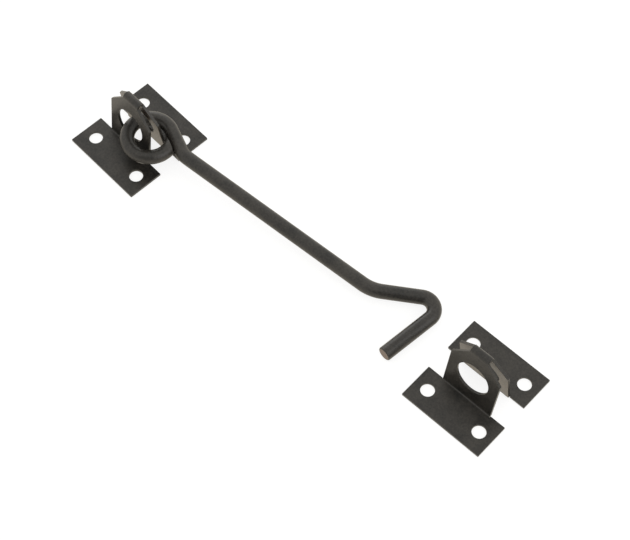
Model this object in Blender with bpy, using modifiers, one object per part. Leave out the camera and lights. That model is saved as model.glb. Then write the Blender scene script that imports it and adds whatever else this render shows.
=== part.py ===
"""A wire cabin hook on two pressed steel plates.

Metres, +Z up. The three pieces lie as they would on a bench. X runs along the hook's shank, from
the hinge plate to the keeper plate, and the origin is under the middle of the set's bounding box.
Each plate has a frame of its own: X along its length, Y across it, the middle at the origin.
"""

import math

import bmesh
import bpy
from mathutils import Matrix, Vector

MM = 0.001

# Sheet and wire
SHEET = 1.2 * MM
WIRE = 6.0 * MM

# Flanges, which are screwed down
PLATE_LENGTH = 38.0 * MM
FLANGE_WIDTH = 15.75 * MM
SCREW_HOLE = 5.7 * MM
SCREW_HOLE_INSET = 6.15 * MM

# Bridge, folded up from the sheet between the two flanges
BRIDGE_WIDTH = 23.6 * MM
FOOT_OVERLAP = 0.25 * MM
FOOT_RADIUS = 0.6 * MM
LEG_LENGTH = 27.4 * MM
SHOULDER_RISE = 19.85 * MM
RIDGE_WIDTH = 8.8 * MM
RIDGE_RADIUS = 1.9 * MM
LEG_HOLE = 15.0 * MM
LEG_HOLE_RISE = 13.4 * MM
EAR_SLIT = 0.2 * MM

# Gap between the two flanges: the pressings spring open a little differently
HINGE_GAP = 9.9 * MM
KEEPER_GAP = 11.35 * MM

# Hook, from its eye to its tip
EYE_RADIUS = 9.35 * MM
SHANK_OFFSET = 2.3 * MM
NECK_ANGLE = math.radians(27.1)
NECK_RADIUS = 9.0 * MM
FIRST_BEND_AT = 112.5 * MM
FIRST_BEND_ANGLE = math.radians(30.6)
FIRST_BEND_RADIUS = 16.0 * MM
MIDDLE_LENGTH = 32.0 * MM
END_BEND_ANGLE = math.radians(131.5)
END_BEND_RADIUS = 5.3 * MM
END_LENGTH = 35.9 * MM
TIP_ROUND = 0.5 * MM
EYE_CLOSING_GAP = 0.3 * MM

# Where the pieces lie: the eye hangs in the hinge plate's holes, the keeper plate stands by itself
SEAT_GAP = 0.3 * MM
EYE_ACROSS_PLATE = 0.2 * MM
EYE_BACK_OFFSET = -1.2 * MM
HINGE_TURN = math.radians(-8.4)
KEEPER_STANDOFF = 8.7 * MM
KEEPER_ACROSS = -4.9 * MM
KEEPER_TURN = math.radians(-4.4)

# Fineness of round stretches
ARC_STEP = math.radians(7.5)
FOLD_STEPS = 4
RIDGE_STEPS = 12
WIRE_SIDES = 16
HOLE_SIDES = 48

WIRE_RADIUS = WIRE / 2
PAINT = "3a3937"
SET_NAME = "hook_and_eye_latch"


def linear(hex_colour):
    """An sRGB hex colour as the linear RGBA that a shader takes."""
    values = [int(hex_colour[i : i + 2], 16) / 255 for i in (0, 2, 4)]
    return [v / 12.92 if v <= 0.04045 else ((v + 0.055) / 1.055) ** 2.4 for v in values] + [1.0]


def painted_steel(name):
    material = bpy.data.materials.new(name)
    material.use_nodes = True
    shader = material.node_tree.nodes["Principled BSDF"]
    shader.inputs["Base Color"].default_value = linear(PAINT)
    shader.inputs["Roughness"].default_value = 0.42
    shader.inputs["Metallic"].default_value = 0.0
    return material


def heading_vector(angle):
    return Vector((math.cos(angle), math.sin(angle), 0.0))


def clear_scene():
    for obj in list(bpy.data.objects):
        bpy.data.objects.remove(obj, do_unlink=True)


def new_collection(name):
    collection = bpy.data.collections.new(name)
    bpy.context.scene.collection.children.link(collection)
    return collection


def foot_spread(gap):
    """How far a leg's outer face stands from the plate's middle, at the flange's top."""
    return gap / 2 + FOOT_OVERLAP


def leg_lean(gap):
    """Angle of the legs from upright, so that both run tangent into the ridge's bend."""
    reach = math.hypot(LEG_LENGTH, RIDGE_RADIUS)
    return math.asin(foot_spread(gap) / reach) - math.atan2(RIDGE_RADIUS, LEG_LENGTH)


def half_width(rise):
    """Half the bridge's width at a distance up the leg: straight sides, then the chamfers."""
    if rise <= SHOULDER_RISE:
        return BRIDGE_WIDTH / 2
    share = (rise - SHOULDER_RISE) / (LEG_LENGTH - SHOULDER_RISE)
    return BRIDGE_WIDTH / 2 + share * (RIDGE_WIDTH - BRIDGE_WIDTH) / 2


def bridge_rows(gap):
    """The bridge's outer surface from the near flange to its ridge: (across, height, half width)."""
    lean = leg_lean(gap)
    turn = math.pi / 2 - lean
    tangent = FOOT_RADIUS * math.tan(turn / 2)
    foot = -foot_spread(gap)
    rows = []
    for step in range(FOLD_STEPS + 1):
        angle = turn * step / FOLD_STEPS
        across = foot - tangent + FOOT_RADIUS * math.sin(angle)
        rows.append((across, SHEET + FOOT_RADIUS * (1 - math.cos(angle)), BRIDGE_WIDTH / 2))
    for rise in (SHOULDER_RISE, LEG_LENGTH):
        across = foot + rise * math.sin(lean)
        rows.append((across, SHEET + rise * math.cos(lean), half_width(rise)))
    centre_height = SHEET + LEG_LENGTH * math.cos(lean) - RIDGE_RADIUS * math.sin(lean)
    for step in range(1, RIDGE_STEPS // 2 + 1):
        angle = lean + turn * step / (RIDGE_STEPS // 2)
        across = -RIDGE_RADIUS * math.cos(angle)
        rows.append((across, centre_height + RIDGE_RADIUS * math.sin(angle), RIDGE_WIDTH / 2))
    return rows


def folded_sheet(name, gap):
    """The top surface of the pressing: an H-shaped blank with its middle folded up."""
    near = bridge_rows(gap)
    far = [(-across, height, half) for across, height, half in reversed(near[:-1])]
    rows = near + far
    flange_edge = gap / 2 + FLANGE_WIDTH
    fold_start = -rows[0][0]
    ear_inside = BRIDGE_WIDTH / 2 + EAR_SLIT
    columns = [-PLATE_LENGTH / 2, -ear_inside, -BRIDGE_WIDTH / 2]
    columns += [-x for x in reversed(columns)]

    shape = bmesh.new()

    def strip(first, second):
        """A row of faces between two runs of (x, y, z) points."""
        lower = [shape.verts.new(point) for point in first]
        upper = [shape.verts.new(point) for point in second]
        for i in range(len(first) - 1):
            shape.faces.new((lower[i], lower[i + 1], upper[i + 1], upper[i]))

    def level(xs, y):
        return [(x, y, SHEET) for x in xs]

    strip(level(columns, -flange_edge), level(columns, -fold_start))
    strip(level(columns, fold_start), level(columns, flange_edge))
    for ear in (columns[:2], columns[-2:]):
        strip(level(ear, -fold_start), level(ear, -gap / 2))
        strip(level(ear, gap / 2), level(ear, fold_start))
    for (y0, z0, half0), (y1, z1, half1) in zip(rows, rows[1:]):
        strip([(-half0, y0, z0), (half0, y0, z0)], [(-half1, y1, z1), (half1, y1, z1)])
    bmesh.ops.remove_doubles(shape, verts=shape.verts, dist=0.001 * MM)

    mesh = bpy.data.meshes.new(name)
    shape.to_mesh(mesh)
    shape.free()
    return bpy.data.objects.new(name, mesh)


def drill(name, plate, diameter, depth, matrix, cutters):
    """Cuts a round hole in the plate, along Z of the matrix, which is in the plate's frame."""
    shape = bmesh.new()
    bmesh.ops.create_cone(
        shape,
        cap_ends=True,
        segments=HOLE_SIDES,
        radius1=diameter / 2,
        radius2=diameter / 2,
        depth=depth,
    )
    mesh = bpy.data.meshes.new(name)
    shape.to_mesh(mesh)
    shape.free()
    cutter = bpy.data.objects.new(name, mesh)
    cutters.objects.link(cutter)
    cutter.parent = plate
    cutter.matrix_local = matrix
    cutter.hide_render = True
    cutter.display_type = "WIRE"
    cut = plate.modifiers.new(name, "BOOLEAN")
    cut.operation = "DIFFERENCE"
    cut.solver = "EXACT"
    cut.object = cutter


def make_plate(name, gap, parts, cutters):
    """One pressing: two drilled flanges and the bridge between them, with a hole in each leg."""
    plate = folded_sheet(name, gap)
    parts.objects.link(plate)
    plate.data.materials.append(painted_steel(name + "_paint"))
    wall = plate.modifiers.new("sheet", "SOLIDIFY")
    wall.thickness = SHEET
    wall.offset = -1.0
    wall.use_even_offset = True

    hole_x = PLATE_LENGTH / 2 - SCREW_HOLE_INSET
    hole_y = gap / 2 + FLANGE_WIDTH / 2
    for side, y in (("near", -hole_y), ("far", hole_y)):
        for end, x in (("left", -hole_x), ("right", hole_x)):
            matrix = Matrix.Translation((x, y, SHEET / 2))
            drill(f"{name}_{side}_{end}_hole", plate, SCREW_HOLE, 3 * SHEET, matrix, cutters)

    lean = leg_lean(gap)
    across = foot_spread(gap) - LEG_HOLE_RISE * math.sin(lean) - SHEET / 2 * math.cos(lean)
    height = SHEET + LEG_HOLE_RISE * math.cos(lean) - SHEET / 2 * math.sin(lean)
    for side, sign in (("near", -1), ("far", 1)):
        matrix = Matrix.Translation((0.0, sign * across, height))
        matrix @= Matrix.Rotation(math.pi / 2 + sign * lean, 4, "X")
        drill(f"{name}_{side}_leg_hole", plate, LEG_HOLE, 3 * SHEET, matrix, cutters)
    return plate


def eye_end_angle(radius):
    """Where a circle about the eye's middle meets the cut that closes the eye against the neck."""
    cut_distance = EYE_RADIUS - WIRE_RADIUS - EYE_CLOSING_GAP
    return math.pi / 2 - NECK_ANGLE - math.acos(cut_distance / radius)


def hook_path():
    """The wire's centreline from the eye's cut end to the tip, in the hook's own plane."""
    eye_start = math.pi / 2 - NECK_ANGLE
    eye_end = eye_end_angle(EYE_RADIUS)
    neck_drop = EYE_RADIUS * math.sin(eye_start) - SHANK_OFFSET
    neck = neck_drop / math.sin(NECK_ANGLE)
    neck_corner = EYE_RADIUS * math.cos(eye_start) + neck * math.cos(NECK_ANGLE)
    neck_tangent = NECK_RADIUS * math.tan(NECK_ANGLE / 2)
    first_tangent = FIRST_BEND_RADIUS * math.tan(FIRST_BEND_ANGLE / 2)
    end_tangent = END_BEND_RADIUS * math.tan(END_BEND_ANGLE / 2)
    moves = (
        (0.0, EYE_RADIUS, eye_start - eye_end - 2 * math.pi),
        (neck - neck_tangent, NECK_RADIUS, NECK_ANGLE),
        (FIRST_BEND_AT - neck_corner - neck_tangent - first_tangent, FIRST_BEND_RADIUS, FIRST_BEND_ANGLE),
        (MIDDLE_LENGTH - first_tangent - end_tangent, END_BEND_RADIUS, -END_BEND_ANGLE),
    )
    heading = eye_end - math.pi / 2
    points = [EYE_RADIUS * heading_vector(eye_end)]
    for length, radius, turn in moves:
        if length > 0:
            points.append(points[-1] + length * heading_vector(heading))
        inward = math.copysign(radius, turn) * heading_vector(heading + math.pi / 2)
        centre = points[-1] + inward
        steps = math.ceil(abs(turn) / ARC_STEP)
        for step in range(1, steps + 1):
            points.append(centre - Matrix.Rotation(turn * step / steps, 3, "Z") @ inward)
        heading += turn
    tip_run = END_LENGTH - end_tangent - TIP_ROUND
    points.append(points[-1] + tip_run * heading_vector(heading))
    return points, heading


def cut_eye_end(shape):
    """Slides the eye's last rings of points round the eye, so that its end lies along the neck."""
    start = -ARC_STEP * 3
    end = eye_end_angle(EYE_RADIUS)
    for vert in shape.verts:
        radius = math.hypot(vert.co.x, vert.co.y)
        angle = math.atan2(vert.co.y, vert.co.x)
        if radius > EYE_RADIUS + 1.1 * WIRE_RADIUS or not start < angle < end + ARC_STEP / 2:
            continue
        share = 1.0 if angle > end - ARC_STEP / 2 else (angle - start) / (end - start)
        turned = start + share * (eye_end_angle(radius) - start)
        vert.co.x = radius * math.cos(turned)
        vert.co.y = radius * math.sin(turned)


def make_hook(parts):
    """The bent wire, with its origin in the eye's middle and its plane level in its own frame."""
    points, heading = hook_path()
    radii = [WIRE_RADIUS] * len(points)
    round_steps = 3
    corner = points[-1]
    for step in range(1, round_steps + 1):
        angle = math.pi / 2 * step / round_steps
        points.append(corner + TIP_ROUND * math.sin(angle) * heading_vector(heading))
        radii.append(WIRE_RADIUS - TIP_ROUND * (1 - math.cos(angle)))

    curve = bpy.data.curves.new("hook_wire", "CURVE")
    curve.dimensions = "3D"
    curve.bevel_depth = WIRE_RADIUS
    curve.bevel_resolution = (WIRE_SIDES - 4) // 2
    curve.use_fill_caps = True
    spline = curve.splines.new("POLY")
    spline.points.add(len(points) - 1)
    for target, point, radius in zip(spline.points, points, radii):
        target.co = (*point, 1.0)
        target.radius = radius / WIRE_RADIUS

    wire = bpy.data.objects.new("hook_wire", curve)
    parts.objects.link(wire)
    bpy.context.view_layer.update()
    graph = bpy.context.evaluated_depsgraph_get()
    mesh = bpy.data.meshes.new_from_object(wire.evaluated_get(graph))
    bpy.data.objects.remove(wire, do_unlink=True)

    shape = bmesh.new()
    shape.from_mesh(mesh)
    bmesh.ops.remove_doubles(shape, verts=shape.verts, dist=0.001 * MM)
    cut_eye_end(shape)
    shape.to_mesh(mesh)
    shape.free()
    mesh.name = "hook"
    mesh.materials.clear()
    mesh.materials.append(painted_steel("hook_paint"))
    mesh.shade_smooth()
    mesh.set_sharp_from_angle(angle=math.radians(40))
    hook = bpy.data.objects.new("hook", mesh)
    parts.objects.link(hook)
    return hook, max(point.x for point in points)


def leg_face(gap, rise):
    """How far a leg's outer face is from the plate's middle, at a distance up the leg."""
    return foot_spread(gap) - rise * math.sin(leg_lean(gap))


def eye_on_plate():
    """The eye's middle on the hinge plate, how far up the legs its wire lies, and how far behind.

    The eye's back hangs just beside the middle of the holes, or further along the plate where the
    eye's inside would otherwise touch the near leg's outer edge.
    """
    seat = LEG_HOLE / 2 - WIRE_RADIUS - SEAT_GAP
    outside = leg_face(HINGE_GAP, LEG_HOLE_RISE - seat)
    inside = EYE_RADIUS - WIRE_RADIUS - SEAT_GAP
    behind = math.sqrt(EYE_RADIUS**2 - (outside - SHEET / 2) ** 2)
    past_leg = BRIDGE_WIDTH / 2 - math.sqrt(inside**2 - (outside + EYE_ACROSS_PLATE) ** 2)
    along = max(past_leg, behind + EYE_BACK_OFFSET)
    rise = LEG_HOLE_RISE - math.sqrt(seat**2 - (along - behind) ** 2)
    return Vector((along, EYE_ACROSS_PLATE, 0.0)), rise, behind


def eye_height_and_tilt(rise, behind, reach):
    """The eye rests in the bottom of both leg holes, and the far bend on the bench."""
    wire_height = SHEET + rise * math.cos(leg_lean(HINGE_GAP))
    slope = (wire_height - WIRE_RADIUS) / (reach + behind)
    return wire_height - slope * behind, math.asin(slope)


def box_middle(pieces):
    """The middle of the box round the pieces, seen from above."""
    bpy.context.view_layer.update()
    graph = bpy.context.evaluated_depsgraph_get()
    corners = []
    for piece in pieces:
        box = piece.evaluated_get(graph).bound_box
        corners += [piece.matrix_world @ Vector(corner) for corner in box]
    middle = Vector((0.0, 0.0, 0.0))
    for axis in (0, 1):
        values = [corner[axis] for corner in corners]
        middle[axis] = (min(values) + max(values)) / 2
    return middle


def main():
    clear_scene()
    parts = new_collection(SET_NAME)
    cutters = new_collection("cutters")
    cutters.hide_render = True

    hinge_plate = make_plate("hinge_plate", HINGE_GAP, parts, cutters)
    keeper_plate = make_plate("keeper_plate", KEEPER_GAP, parts, cutters)
    hook, reach = make_hook(parts)

    # The eye's middle is the reference until the set is centred on its box
    on_plate, rise, behind = eye_on_plate()
    height, tilt = eye_height_and_tilt(rise, behind, reach)
    hook.location.z = height
    hook.rotation_euler.y = tilt
    hinge_plate.location = -(Matrix.Rotation(HINGE_TURN, 3, "Z") @ on_plate)
    hinge_plate.rotation_euler.z = HINGE_TURN
    keeper_plate.location.x = reach + WIRE_RADIUS + KEEPER_STANDOFF + PLATE_LENGTH / 2
    keeper_plate.location.y = KEEPER_ACROSS
    keeper_plate.rotation_euler.z = KEEPER_TURN

    pieces = (hinge_plate, keeper_plate, hook)
    bench = bpy.data.objects.new(SET_NAME, None)
    parts.objects.link(bench)
    bench.location = -box_middle(pieces)
    for piece in pieces:
        piece.parent = bench


main()
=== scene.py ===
"""Looks for a wire cabin hook on two pressed steel plates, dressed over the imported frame."""

import math

import bpy
from mathutils import Matrix, Vector


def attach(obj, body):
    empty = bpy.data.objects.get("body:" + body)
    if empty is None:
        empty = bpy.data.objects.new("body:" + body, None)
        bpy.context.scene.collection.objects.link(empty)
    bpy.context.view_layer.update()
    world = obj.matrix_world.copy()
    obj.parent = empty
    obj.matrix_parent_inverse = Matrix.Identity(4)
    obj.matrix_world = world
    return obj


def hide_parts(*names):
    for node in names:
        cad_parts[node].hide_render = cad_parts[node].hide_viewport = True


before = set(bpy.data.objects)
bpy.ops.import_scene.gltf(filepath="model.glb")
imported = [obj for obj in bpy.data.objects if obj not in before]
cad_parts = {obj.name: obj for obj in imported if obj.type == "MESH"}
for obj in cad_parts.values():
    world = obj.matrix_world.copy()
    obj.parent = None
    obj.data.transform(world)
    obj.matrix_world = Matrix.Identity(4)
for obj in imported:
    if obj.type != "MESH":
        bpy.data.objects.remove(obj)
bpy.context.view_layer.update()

MM = 0.001

# Sheet and wire
SHEET = 1.2 * MM
WIRE_RADIUS = 3.0 * MM
RIM_REACH = 1.1 * WIRE_RADIUS

# The pressing: flanges, and the bridge between them
PLATE_LENGTH = 38.0 * MM
FLANGE_WIDTH = 15.75 * MM
SCREW_HOLE = 5.7 * MM
SCREW_HOLE_INSET = 6.15 * MM
BRIDGE_WIDTH = 23.6 * MM
FOOT_OVERLAP = 0.25 * MM
FOOT_RADIUS = 0.6 * MM
LEG_LENGTH = 27.4 * MM
SHOULDER_RISE = 19.85 * MM
RIDGE_WIDTH = 8.8 * MM
RIDGE_RADIUS = 1.9 * MM
LEG_HOLE = 15.0 * MM
LEG_HOLE_RISE = 13.4 * MM
EAR_SLIT = 0.2 * MM
HINGE_GAP = 9.9 * MM
KEEPER_GAP = 11.35 * MM
PUNCH_DEPTH = 3 * SHEET
SHEARED_EDGE = 0.13 * MM

# The hook, from the eye's cut end to the tip
EYE_RADIUS = 9.35 * MM
EYE_CLOSING_GAP = 0.3 * MM
SHANK_OFFSET = 2.3 * MM
NECK_ANGLE = math.radians(27.1)
NECK_RADIUS = 9.0 * MM
FIRST_BEND_AT = 112.5 * MM
FIRST_BEND_ANGLE = math.radians(30.6)
FIRST_BEND_RADIUS = 16.0 * MM
MIDDLE_LENGTH = 32.0 * MM
END_BEND_ANGLE = math.radians(131.5)
END_BEND_RADIUS = 5.3 * MM
END_LENGTH = 35.9 * MM
TIP_ROUND = 0.5 * MM
CUT_BURR = 0.12 * MM

# Where the pieces lie, as in the frame
HINGE_AT = (Vector((-87.426, 2.684, 0.0)) * MM, math.radians(-8.4))
KEEPER_AT = (Vector((88.658, -3.118, 0.0)) * MM, math.radians(-4.4))
EYE_AT = Vector((-79.946, 1.782, 10.047)) * MM
HOOK_TILT = math.asin(0.051099)

# Fineness
WIRE_SIDES = 48
DEGREES_A_STEP = 3.0
HOLE_SIDES = 96
FOOT_STEPS = 10
RIDGE_STEPS = 14
EDGE_STEPS = 3
BURR_STEPS = 2
TIP_STEPS = 5
SHARP_CORNER = math.radians(40)
SMOOTH_BELOW = math.radians(25)
FLAT_FACE_WEIGHT = 80
HAIR = 0.002 * MM

# The camera stands where the photograph was taken from; its lens and sensor are in millimetres
CAMERA_AT = Vector((215.968, -263.618, 598.979)) * MM
CAMERA_AIM = Vector((8.077, -0.693, 0.097)) * MM
CAMERA_LENS = 98.513
CAMERA_SENSOR = 36.0

# The light: an even sky, with a dim patch on the side of the room that the camera is on
SKY_LEVEL = 1.0
DIM_LEVEL = 0.33
DIM_SIDE = Vector((0.5, -0.66, 0.5))
DIM_CORE = math.radians(12)
DIM_REACH = math.radians(42)
SKY_TINT = (1.0, 0.98, 0.93, 1.0)

# Two softboxes: the place in metres, the width of a side and the power
RIGHT_LAMP = (Vector((1.0, -0.1, 0.85)), 1.0, 3.2)
BACK_LAMP = (Vector((-1.0, 0.8, 0.45)), 1.0, 3.5)

# The white card on the table. It glows a little for the camera, so that its shadows stay faint, and
# shows warmer in what the steel mirrors.
TABLE_SIDE = 6.0
CARD_GREY = (0.8, 0.8, 0.8, 1.0)
TABLE_WHITE = (0.9, 0.9, 0.9, 1.0)
TABLE_BOUNCE = (1.0, 0.915, 0.77, 1.0)
TABLE_GLOW = 1.32
GLOW_SHARE = 0.7

# The scale of the finishes. The lacquer's real orange peel is nearer 0.4 mm across, which is too fine
# to show, so it is drawn coarser.
CLOUD_WIDTH = 9 * MM
GRAIN_WIDTH = 0.9 * MM
PEEL_DEPTH = 0.038 * MM
BLOOM_WIDTH = 1.2 * MM


# Modelling by hand: small helpers over the operators


def deselect_objects():
    for obj in list(bpy.context.selected_objects):
        obj.select_set(False)


def hold(obj):
    """Makes the piece the only one in hand."""
    deselect_objects()
    obj.select_set(True)
    bpy.context.view_layer.objects.active = obj


def edit(obj):
    hold(obj)
    bpy.ops.object.mode_set(mode="EDIT")


def finish_edit():
    bpy.ops.object.mode_set(mode="OBJECT")


def pick(obj, mode, wanted):
    """In edit mode, selects the edges or faces that pass the test, and nothing else."""
    bpy.ops.mesh.select_mode(type=mode)
    bpy.ops.mesh.select_all(action="DESELECT")
    bpy.ops.object.mode_set(mode="OBJECT")
    points = obj.data.vertices
    for part in obj.data.edges if mode == "EDGE" else obj.data.polygons:
        part.select = wanted([points[i].co for i in part.vertices])
    bpy.ops.object.mode_set(mode="EDIT")


def middle(points):
    return sum(points, Vector()) / len(points)


def pull(vector):
    """Extrudes what is selected by a vector."""
    bpy.ops.mesh.extrude_region_move(TRANSFORM_OT_translate={"value": tuple(vector)})


def sweep(steps, angle, centre, axis):
    """Spins what is selected about an axis. The operator counts its angle the other way."""
    bpy.ops.mesh.spin(steps=steps, angle=-angle, center=centre, axis=axis)


def round_off(radius, steps):
    """Rounds the selected edges."""
    bpy.ops.mesh.bevel(
        offset=radius, segments=steps, profile=0.5, affect="EDGES", clamp_overlap=False
    )


def apply_modifier(obj, kind, **settings):
    hold(obj)
    modifier = obj.modifiers.new(kind.lower(), kind)
    for key, value in settings.items():
        setattr(modifier, key, value)
    bpy.ops.object.modifier_apply(modifier=modifier.name)


def drill(obj, diameter, depth, matrix):
    """Punches a round hole along the matrix's own Z."""
    deselect_objects()
    bpy.ops.mesh.primitive_cylinder_add(vertices=HOLE_SIDES, radius=diameter / 2, depth=depth)
    punch = bpy.context.object
    punch.matrix_world = matrix
    bpy.context.view_layer.update()
    apply_modifier(obj, "BOOLEAN", operation="DIFFERENCE", solver="EXACT", object=punch)
    bpy.data.objects.remove(punch, do_unlink=True)


def smooth_and_lay_down(obj, matrix, *finishes):
    """Smooths all but the sharp edges, puts the piece's place into its mesh, and paints it."""
    hold(obj)
    bpy.ops.object.shade_smooth_by_angle(angle=SMOOTH_BELOW)
    apply_modifier(obj, "WEIGHTED_NORMAL", keep_sharp=True, weight=FLAT_FACE_WEIGHT)
    obj.data.transform(matrix)
    for finish in finishes:
        obj.data.materials.append(finish)


# The plates


def foot_spread(gap):
    """How far a leg's outer face stands from the plate's middle, at the flange's top."""
    return gap / 2 + FOOT_OVERLAP


def leg_lean(gap):
    """Angle of the legs from upright, so that both run straight into the ridge's bend."""
    reach = math.hypot(LEG_LENGTH, RIDGE_RADIUS)
    return math.asin(foot_spread(gap) / reach) - math.atan2(RIDGE_RADIUS, LEG_LENGTH)


def fold_half(name, gap):
    """Half of the pressing's outer surface: a flange, folded up as far as the ridge's crest."""
    lean = leg_lean(gap)
    turn = math.pi / 2 - lean
    foot = -foot_spread(gap)
    fold_start = foot - FOOT_RADIUS * math.tan(turn / 2)
    edge = -(gap / 2 + FLANGE_WIDTH)
    ear_inside = BRIDGE_WIDTH / 2 + EAR_SLIT
    corner = Vector((0.0, foot, SHEET))
    up_leg = Vector((0.0, math.sin(lean), math.cos(lean)))

    deselect_objects()
    bpy.ops.mesh.primitive_plane_add(size=1.0, location=(0.0, (edge + fold_start) / 2, SHEET))
    half = bpy.context.object
    half.name = name
    half.scale = (PLATE_LENGTH, fold_start - edge, 1.0)
    bpy.ops.object.transform_apply(location=True, rotation=True, scale=True)
    edit(half)
    for x in (-ear_inside, -BRIDGE_WIDTH / 2, BRIDGE_WIDTH / 2, ear_inside):
        bpy.ops.mesh.select_all(action="SELECT")
        bpy.ops.mesh.bisect(plane_co=(x, 0.0, 0.0), plane_no=(1.0, 0.0, 0.0))

    def on_fold(points, least, most):
        on_line = all(abs(p.y - fold_start) < HAIR for p in points)
        return on_line and least < abs(middle(points).x) < most

    # The two ears run on level beside the bridge
    pick(half, "EDGE", lambda points: on_fold(points, ear_inside, PLATE_LENGTH))
    pull((0.0, -gap / 2 - fold_start, 0.0))

    # The foot's bend, the straight leg, the chamfered shoulder and half of the ridge
    pick(half, "EDGE", lambda points: on_fold(points, -HAIR, BRIDGE_WIDTH / 2))
    fold_centre = Vector((0.0, fold_start, SHEET + FOOT_RADIUS))
    sweep(FOOT_STEPS, turn, fold_centre, (1.0, 0.0, 0.0))
    leg_start = fold_centre + FOOT_RADIUS * Vector((0.0, math.sin(turn), -math.cos(turn)))
    shoulder = corner + SHOULDER_RISE * up_leg
    pull(shoulder - leg_start)
    top = corner + LEG_LENGTH * up_leg
    pull(top - shoulder)
    bpy.ops.transform.resize(value=(RIDGE_WIDTH / BRIDGE_WIDTH, 1.0, 1.0), center_override=top)
    ridge_centre = Vector((0.0, 0.0, top.z - RIDGE_RADIUS * math.sin(lean)))
    sweep(RIDGE_STEPS, -turn, ridge_centre, (1.0, 0.0, 0.0))
    finish_edit()
    return half


def give_thickness(plate):
    """Mirrors the folded half, turns its faces up, and gives the sheet its thickness."""
    apply_modifier(
        plate,
        "MIRROR",
        use_axis=(False, True, False),
        use_mirror_merge=True,
        merge_threshold=2 * HAIR,
    )
    edit(plate)
    bpy.ops.mesh.select_all(action="SELECT")
    bpy.ops.mesh.remove_doubles(threshold=HAIR)
    bpy.ops.mesh.normals_make_consistent(inside=False)
    finish_edit()
    flange = min(plate.data.polygons, key=lambda face: face.center.z)
    if flange.normal.z < 0:
        edit(plate)
        bpy.ops.mesh.select_all(action="SELECT")
        bpy.ops.mesh.flip_normals()
        finish_edit()
    apply_modifier(plate, "SOLIDIFY", thickness=SHEET, offset=-1.0, use_even_offset=True)


def punch_holes(plate, gap):
    """Four screw holes through the flanges, and the large hole through each leg."""
    hole_x = PLATE_LENGTH / 2 - SCREW_HOLE_INSET
    hole_y = gap / 2 + FLANGE_WIDTH / 2
    lean = leg_lean(gap)
    across = foot_spread(gap) - LEG_HOLE_RISE * math.sin(lean) - SHEET / 2 * math.cos(lean)
    height = SHEET + LEG_HOLE_RISE * math.cos(lean) - SHEET / 2 * math.sin(lean)
    for side in (-1, 1):
        for x in (-hole_x, hole_x):
            drill(plate, SCREW_HOLE, PUNCH_DEPTH, Matrix.Translation((x, side * hole_y, SHEET / 2)))
        through_leg = Matrix.Rotation(math.pi / 2 + side * lean, 4, "X")
        on_leg = Matrix.Translation((0.0, side * across, height))
        drill(plate, LEG_HOLE, PUNCH_DEPTH, on_leg @ through_leg)


def break_sheared_edges(plate, gap):
    """Breaks every sharp edge but those inside the narrow slits beside the bridge."""
    margin = EAR_SLIT / 4
    slit_inside = BRIDGE_WIDTH / 2 - margin
    slit_outside = BRIDGE_WIDTH / 2 + EAR_SLIT + margin
    slit_end = foot_spread(gap) + 2 * FOOT_RADIUS
    slit_top = 2.5 * SHEET
    edit(plate)
    bpy.ops.mesh.select_mode(type="EDGE")
    bpy.ops.mesh.select_all(action="DESELECT")
    bpy.ops.mesh.edges_select_sharp(sharpness=SHARP_CORNER)
    bpy.ops.object.mode_set(mode="OBJECT")
    points = plate.data.vertices
    for edge in plate.data.edges:
        spot = middle([points[i].co for i in edge.vertices])
        beside_bridge = slit_inside < abs(spot.x) < slit_outside
        if beside_bridge and abs(spot.y) < slit_end and spot.z < slit_top:
            edge.select = False
    bpy.ops.object.mode_set(mode="EDIT")
    round_off(SHEARED_EDGE, EDGE_STEPS)
    finish_edit()


def pressing(name, gap, place, paint, table_reflection_paint):
    """One plate: folded, punched, its edges broken, and painted, paler and browner under the bridge
    as a painted warm reflection of the table.
    """
    plate = fold_half(name, gap)
    give_thickness(plate)
    punch_holes(plate, gap)
    break_sheared_edges(plate, gap)
    # The inward, downward faces under the bridge take the paler, browner coat: a painted reflection
    # of the warm table
    under_bridge = [
        face.index
        for face in plate.data.polygons
        if face.normal.y * face.center.y < 0 and face.normal.z < 0 and face.center.z > 2 * SHEET
    ]
    spot, yaw = place
    on_bench = Matrix.Translation(spot) @ Matrix.Rotation(yaw, 4, "Z")
    smooth_and_lay_down(plate, on_bench, paint, table_reflection_paint)
    for index in under_bridge:
        plate.data.polygons[index].material_index = 1
    return plate


# The hook


def heading_vector(angle):
    return Vector((math.cos(angle), math.sin(angle), 0.0))


def on_rim(points, spot, along):
    """Whether the points lie round a spot of the wire's middle line, square to its heading."""
    return all(abs((p - spot).dot(along)) < HAIR and (p - spot).length < RIM_REACH for p in points)


def bend(centre, angle):
    """Bends the wire on from its open end, about a centre in the hook's own plane."""
    steps = max(2, math.ceil(math.degrees(abs(angle)) / DEGREES_A_STEP))
    sweep(steps, angle, centre, (0.0, 0.0, 1.0))


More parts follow.
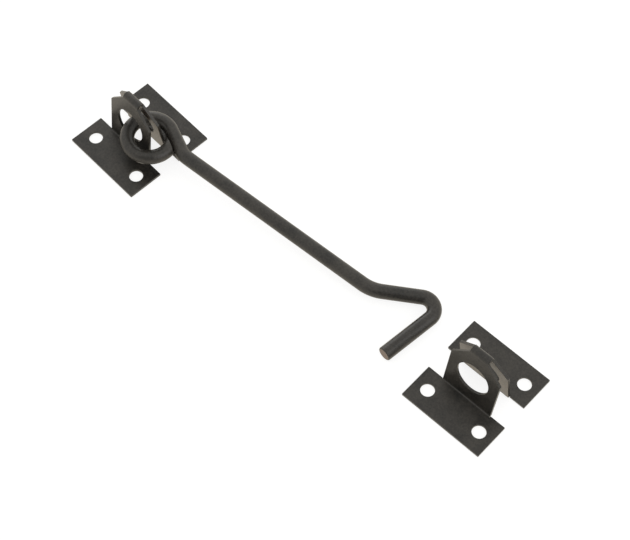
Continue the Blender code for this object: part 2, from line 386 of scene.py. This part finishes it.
def wind_eye(name, eye_start):
    """The eye, wound clockwise from a spare end as far as the neck, and sawn off along the neck.

    The edges of the saw cut are eased, but for the thin inner one, which has no room for it.
    """
    cut_distance = EYE_RADIUS - WIRE_RADIUS - EYE_CLOSING_GAP
    cut_normal = heading_vector(eye_start)
    spare = math.radians(4.0)
    inner_cut = math.acos(cut_distance / (EYE_RADIUS - WIRE_RADIUS))
    outer_cut = math.acos(cut_distance / (EYE_RADIUS + WIRE_RADIUS))
    first = eye_start - inner_cut + spare

    deselect_objects()
    bpy.ops.mesh.primitive_circle_add(
        vertices=WIRE_SIDES,
        radius=WIRE_RADIUS,
        location=EYE_RADIUS * heading_vector(first),
        rotation=(math.pi / 2, 0.0, first),
    )
    wire = bpy.context.object
    wire.name = name
    bpy.ops.object.transform_apply(location=True, rotation=True, scale=True)
    edit(wire)
    bpy.ops.mesh.select_all(action="SELECT")
    bend((0.0, 0.0, 0.0), eye_start - first - 2 * math.pi)

    def in_spare_end(points):
        spot = middle(points)
        return eye_start - outer_cut - 2 * spare < math.atan2(spot.y, spot.x) < first + spare

    pick(wire, "FACE", in_spare_end)
    bpy.ops.mesh.bisect(
        plane_co=cut_distance * cut_normal,
        plane_no=cut_normal,
        clear_outer=True,
        use_fill=True,
        threshold=HAIR / 2,
    )

    def on_blunt_rim(points):
        on_cut = all(abs(p.dot(cut_normal) - cut_distance) < HAIR for p in points)
        return on_cut and middle(points).length > EYE_RADIUS - WIRE_RADIUS / 2

    pick(wire, "EDGE", on_blunt_rim)
    round_off(CUT_BURR, BURR_STEPS)
    finish_edit()
    return wire


def bent_wire(name, paint, bare_steel):
    """The hook, bent from one length of wire: eye, neck, shank, two bends and the straight end."""
    eye_start = math.pi / 2 - NECK_ANGLE
    wire = wind_eye(name, eye_start)
    heading = eye_start - math.pi / 2
    at = EYE_RADIUS * heading_vector(eye_start)

    neck = (at.y - SHANK_OFFSET) / math.sin(NECK_ANGLE)
    neck_corner = at.x + neck * math.cos(NECK_ANGLE)
    neck_tangent = NECK_RADIUS * math.tan(NECK_ANGLE / 2)
    first_tangent = FIRST_BEND_RADIUS * math.tan(FIRST_BEND_ANGLE / 2)
    end_tangent = END_BEND_RADIUS * math.tan(END_BEND_ANGLE / 2)
    shank = FIRST_BEND_AT - neck_corner
    runs = (
        (neck - neck_tangent, NECK_RADIUS, NECK_ANGLE),
        (shank - neck_tangent - first_tangent, FIRST_BEND_RADIUS, FIRST_BEND_ANGLE),
        (MIDDLE_LENGTH - first_tangent - end_tangent, END_BEND_RADIUS, -END_BEND_ANGLE),
    )
    along = heading_vector(heading)
    edit(wire)
    pick(wire, "EDGE", lambda points: on_rim(points, at, along))
    for length, radius, angle in runs:
        pull(length * along)
        at = at + length * along
        centre = at + math.copysign(radius, angle) * heading_vector(heading + math.pi / 2)
        bend(centre, angle)
        at = centre + Matrix.Rotation(angle, 3, "Z") @ (at - centre)
        heading += angle
        along = heading_vector(heading)
    pull((END_LENGTH - end_tangent) * along)
    tip = at + (END_LENGTH - end_tangent) * along
    bpy.ops.mesh.edge_face_add()
    pick(wire, "EDGE", lambda points: on_rim(points, tip, along))
    round_off(TIP_ROUND, TIP_STEPS)
    bpy.ops.mesh.select_all(action="SELECT")
    bpy.ops.mesh.remove_doubles(threshold=HAIR)
    bpy.ops.mesh.normals_make_consistent(inside=False)
    finish_edit()
    points = wire.data.vertices
    cut_faces = [
        face.index
        for face in wire.data.polygons
        if on_rim([points[i].co for i in face.vertices], tip, along)
    ]
    in_eye = Matrix.Translation(EYE_AT) @ Matrix.Rotation(HOOK_TILT, 4, "Y")
    smooth_and_lay_down(wire, in_eye, paint, bare_steel)
    for index in cut_faces:
        wire.data.polygons[index].material_index = 1
    return wire


# Finishes


def linear(hexcode):
    """An sRGB hex colour, as the linear colour that a shader takes."""
    parts = (int(hexcode[i : i + 2], 16) / 255 for i in (1, 3, 5))
    light = (p / 12.92 if p <= 0.04045 else ((p + 0.055) / 1.055) ** 2.4 for p in parts)
    return (*light, 1.0)


def add_node(tree, kind, sockets=None, **settings):
    """Adds a node, with its settings, and a constant or a link for each socket named."""
    node = tree.nodes.new(kind)
    for key, value in settings.items():
        setattr(node, key, value)
    for key, value in (sockets or {}).items():
        if isinstance(value, bpy.types.NodeSocket):
            tree.links.new(value, node.inputs[key])
        else:
            node.inputs[key].default_value = value
    return node


def new_material(name):
    material = bpy.data.materials.new(name)
    material.use_nodes = True
    material.node_tree.nodes.clear()
    return material, material.node_tree


def satin_lacquer(name, deep, pale, roughness_least, roughness_most):
    """Charcoal stoving lacquer, sprayed on steel and baked: satin, near black and a little warm.

    Its thickness drifts in clouds, which shifts its colour and sheen, over a fine orange peel.
    """
    material, tree = new_material(name)
    place = add_node(tree, "ShaderNodeTexCoord").outputs["Object"]
    cloud = add_node(
        tree,
        "ShaderNodeTexNoise",
        {"Vector": place, "Scale": 1 / CLOUD_WIDTH, "Detail": 3.0, "Roughness": 0.55},
    ).outputs["Fac"]
    grain = add_node(
        tree,
        "ShaderNodeTexNoise",
        {"Vector": place, "Scale": 1 / GRAIN_WIDTH, "Detail": 2.0, "Roughness": 0.6},
    ).outputs["Fac"]
    depth = add_node(tree, "ShaderNodeMath", {0: cloud, 1: grain}, operation="ADD").outputs[0]
    thickness = add_node(
        tree, "ShaderNodeMapRange", {"Value": depth, "From Min": 0.7, "From Max": 1.3}
    ).outputs["Result"]
    colour = add_node(
        tree,
        "ShaderNodeMix",
        {"Factor": thickness, 6: linear(deep), 7: linear(pale)},
        data_type="RGBA",
    ).outputs[2]
    roughness = add_node(
        tree,
        "ShaderNodeMapRange",
        {"Value": cloud, "To Min": roughness_least, "To Max": roughness_most},
    ).outputs["Result"]
    skin = add_node(
        tree, "ShaderNodeBump", {"Height": grain, "Strength": 1.0, "Distance": PEEL_DEPTH}
    ).outputs["Normal"]
    paint = add_node(
        tree,
        "ShaderNodeBsdfPrincipled",
        {"Base Color": colour, "Roughness": roughness, "Normal": skin, "Metallic": 0.0, "IOR": 1.5},
    )
    add_node(tree, "ShaderNodeOutputMaterial", {"Surface": paint.outputs["BSDF"]})
    return material


def bare_cut_steel():
    """Mild steel sheared after painting: dull, with a pinkish brown bloom of first rust."""
    material, tree = new_material("bare_cut_steel")
    place = add_node(tree, "ShaderNodeTexCoord").outputs["Object"]
    bloom = add_node(
        tree,
        "ShaderNodeTexNoise",
        {"Vector": place, "Scale": 1 / BLOOM_WIDTH, "Detail": 4.0, "Roughness": 0.6},
    ).outputs["Fac"]
    colour = add_node(
        tree,
        "ShaderNodeMix",
        {"Factor": bloom, 6: linear("#62554d"), 7: linear("#86776e")},
        data_type="RGBA",
    ).outputs[2]
    steel = add_node(
        tree, "ShaderNodeBsdfPrincipled", {"Base Color": colour, "Roughness": 0.5, "Metallic": 0.55}
    )
    add_node(tree, "ShaderNodeOutputMaterial", {"Surface": steel.outputs["BSDF"]})
    return material


# The studio: a white table under a white dome, and two soft lamps


def seen_directly(tree):
    """Two switches: on for camera, mirror and glass rays, and on for camera rays alone."""
    path = add_node(tree, "ShaderNodeLightPath").outputs
    by_camera = path["Is Camera Ray"]
    seen = by_camera
    for ray in ("Is Glossy Ray", "Is Transmission Ray"):
        seen = add_node(
            tree, "ShaderNodeMath", {0: seen, 1: path[ray]}, operation="MAXIMUM"
        ).outputs[0]
    return seen, by_camera


def white_table():
    deselect_objects()
    bpy.ops.mesh.primitive_plane_add(size=TABLE_SIDE, location=(0.0, 0.0, 0.0))
    table = bpy.context.object
    table.name = "white_table"
    material, tree = new_material("white_card")
    card = add_node(tree, "ShaderNodeBsdfDiffuse", {"Color": CARD_GREY})
    seen, by_camera = seen_directly(tree)
    tint = add_node(
        tree,
        "ShaderNodeMix",
        {"Factor": by_camera, 6: TABLE_BOUNCE, 7: TABLE_WHITE},
        data_type="RGBA",
    ).outputs[2]
    glow = add_node(tree, "ShaderNodeEmission", {"Color": tint, "Strength": TABLE_GLOW})
    share = add_node(
        tree, "ShaderNodeMath", {0: seen, 1: GLOW_SHARE}, operation="MULTIPLY"
    ).outputs[0]
    mixed = add_node(
        tree,
        "ShaderNodeMixShader",
        {0: share, 1: card.outputs["BSDF"], 2: glow.outputs["Emission"]},
    )
    add_node(tree, "ShaderNodeOutputMaterial", {"Surface": mixed.outputs["Shader"]})
    table.data.materials.append(material)


def white_dome():
    """An even, slightly warm sky, with one dim patch. The camera itself sees plain white."""
    world = bpy.data.worlds.new("white_dome")
    bpy.context.scene.world = world
    world.use_nodes = True
    tree = world.node_tree
    tree.nodes.clear()
    direction = add_node(tree, "ShaderNodeTexCoord").outputs["Generated"]
    toward = add_node(
        tree,
        "ShaderNodeVectorMath",
        {0: direction, 1: DIM_SIDE.normalized()},
        operation="DOT_PRODUCT",
    ).outputs["Value"]
    level = add_node(
        tree,
        "ShaderNodeMapRange",
        {
            "Value": toward,
            "From Min": math.cos(DIM_REACH),
            "From Max": math.cos(DIM_CORE),
            "To Min": SKY_LEVEL,
            "To Max": DIM_LEVEL,
        },
        interpolation_type="SMOOTHSTEP",
    ).outputs["Result"]
    sky = add_node(tree, "ShaderNodeBackground", {"Color": SKY_TINT, "Strength": level})
    backdrop = add_node(
        tree, "ShaderNodeBackground", {"Color": (1.0, 1.0, 1.0, 1.0), "Strength": 1.0}
    )
    by_camera = add_node(tree, "ShaderNodeLightPath").outputs["Is Camera Ray"]
    mixed = add_node(
        tree,
        "ShaderNodeMixShader",
        {0: by_camera, 1: sky.outputs["Background"], 2: backdrop.outputs["Background"]},
    )
    add_node(tree, "ShaderNodeOutputWorld", {"Surface": mixed.outputs["Shader"]})


def aim(obj, target):
    direction = target - obj.location
    obj.rotation_euler = direction.to_track_quat("-Z", "Y").to_euler()


def soft_lamp(name, spot, size, power):
    """A square softbox, aimed at the middle of the set."""
    deselect_objects()
    bpy.ops.object.light_add(type="AREA", location=spot)
    lamp = bpy.context.object
    lamp.name = name
    lamp.data.shape = "SQUARE"
    lamp.data.size = size
    lamp.data.energy = power
    aim(lamp, Vector())


def photo_camera():
    deselect_objects()
    bpy.ops.object.camera_add(location=CAMERA_AT)
    camera = bpy.context.object
    camera.name = "photo_camera"
    camera.data.lens = CAMERA_LENS
    camera.data.sensor_width = CAMERA_SENSOR
    aim(camera, CAMERA_AIM)
    bpy.context.scene.camera = camera


# The set, dressed piece by piece, and the studio round it

lacquer = satin_lacquer("satin_black_lacquer", "#12110f", "#33302c", 0.28, 0.44)

# Under a bridge the coat is painted paler and browner, a painted warm reflection of the table, and
# made glossier
table_reflection_lacquer = satin_lacquer("thin_lacquer_under_bridge", "#2a2014", "#4d3c25", 0.26, 0.42)
cut_steel = bare_cut_steel()

hinge_pressing = pressing("hinge_pressing", HINGE_GAP, HINGE_AT, lacquer, table_reflection_lacquer)
keeper_pressing = pressing("keeper_pressing", KEEPER_GAP, KEEPER_AT, lacquer, table_reflection_lacquer)
hook_wire = bent_wire("hook_wire", lacquer, cut_steel)

for piece, node, body in (
    (hinge_pressing, "hinge_plate", "plates"),
    (keeper_pressing, "keeper_plate", "plates"),
    (hook_wire, "hook", "hook"),
):
    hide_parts(node)
    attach(piece, body)

white_table()
white_dome()
soft_lamp("right_lamp", *RIGHT_LAMP)
soft_lamp("back_lamp", *BACK_LAMP)
photo_camera()
bpy.context.scene.view_settings.view_transform = "Standard"
